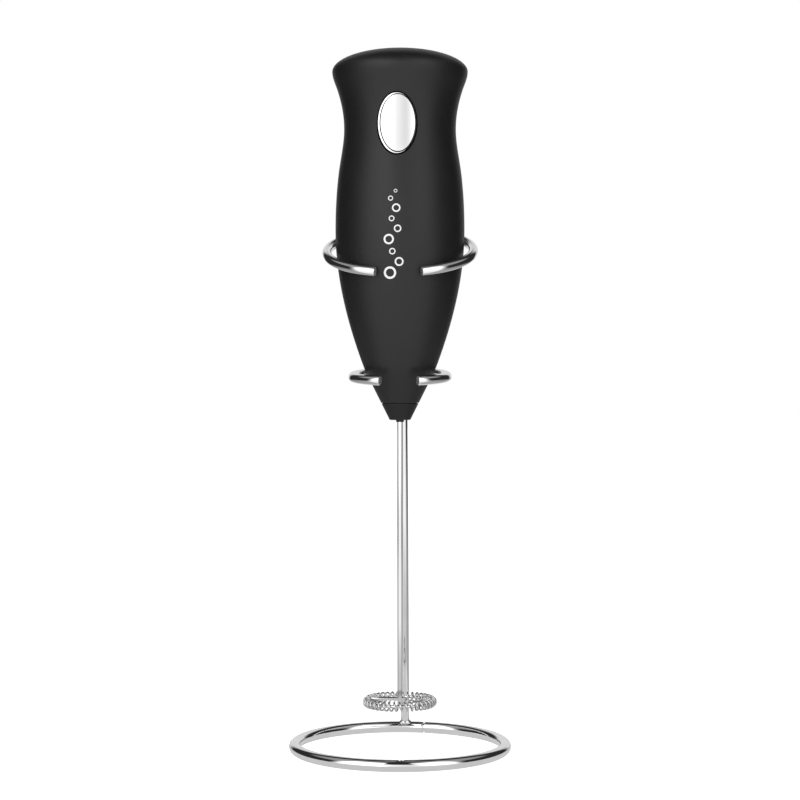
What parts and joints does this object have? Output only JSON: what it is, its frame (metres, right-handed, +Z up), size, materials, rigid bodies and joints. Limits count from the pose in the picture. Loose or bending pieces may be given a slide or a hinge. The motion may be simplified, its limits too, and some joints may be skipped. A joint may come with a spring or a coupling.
{
  "type": "milk frother",
  "caption": "Battery-powered handheld milk frother with an oval push button and a spring whisk, hanging in a chrome wire stand with open cradle rings.",
  "frame": {"origin": "under the middle of the base ring, on the surface that the stand rests on", "axes": "+Z up along the handle and shaft, -Y towards the front, where the button is; +X to the right seen from the front"},
  "size_m": [0.0643, 0.0642, 0.2034],
  "materials": {
    "soft_touch_black": "soft-touch rubberised paint, fine grain",
    "button_chrome": "satin-bright chrome plating on plastic",
    "stand_chrome": "bright chrome plated steel wire",
    "whisk_steel": "polished stainless steel",
    "spring_steel": "bright spring wire",
    "bush_black": "smooth",
    "tray_plastic": "moulded ABS",
    "switch_plastic": "moulded, fine spark texture",
    "screw_steel": "zinc plated",
    "battery_jacket": "printed sleeve, two plain bands",
    "contact_nickel": "nickel plated strip",
    "lead_red": "PVC insulation",
    "lead_black": "PVC insulation",
    "motor_steel": "zinc plated drawn can",
    "motor_plastic": "moulded nylon",
    "magnet": "sintered ferrite",
    "bronze": "sintered bronze",
    "brass": "turned or rolled",
    "core_steel": "stacked laminations",
    "copper": "enamelled winding wire"
  },
  "bodies": {
    "stand": {"base_ring": "stand_chrome", "stand_post": "stand_chrome", "upper_ring": "stand_chrome", "lower_ring": "stand_chrome"},
    "handle": {"front_shell": "soft_touch_black", "nose_cap": "soft_touch_black", "shaft_bush": "bush_black", "battery_tray": "tray_plastic", "tray_screws": "screw_steel", "battery_left": "battery_jacket", "battery_right": "battery_jacket", "spring_lower": "contact_nickel", "spring_upper": "contact_nickel", "contact_negative": "contact_nickel", "contact_positive": "contact_nickel", "contact_bridge": "contact_nickel", "switch_body": "switch_plastic", "button_spring": "spring_steel", "lead_positive": "lead_red", "lead_to_switch": "lead_black", "lead_to_motor": "lead_black", "motor_can": "motor_steel", "motor_end_cap": "motor_plastic", "motor_magnets": "magnet", "motor_bushes": "bronze", "motor_brushes": "brass", "motor_clamp": "tray_plastic"},
    "button": {"button_cap": "button_chrome"},
    "cover": {"battery_cover": "soft_touch_black"},
    "whisk": {"motor_shaft": "whisk_steel", "armature_core": "core_steel", "armature_coils": "copper", "commutator": "copper", "shaft_coupling": "brass", "whisk_shaft": "whisk_steel", "whisk_core": "whisk_steel", "whisk_coil": "whisk_steel"}
  },
  "joints": [
    {"name": "frother_lift", "type": "slide", "parent": "stand", "child": "handle", "axis": [0, 0, 1], "range_m": [0, 0.15]},
    {"name": "button_press", "type": "slide", "parent": "handle", "child": "button", "axis": [0, 1, 0], "range_m": [0, 0.001], "stiffness_N_per_m": 1500, "deforming": ["button_spring"]},
    {"name": "cover_slide", "type": "slide", "parent": "handle", "child": "cover", "axis": [0, 0, 1], "range_m": [0, 0.06]},
    {"name": "whisk_spin", "type": "hinge", "parent": "handle", "child": "whisk", "pos_m": [0, 0, 0.1], "axis": [0, 0, 1], "continuous": true}
  ]
}
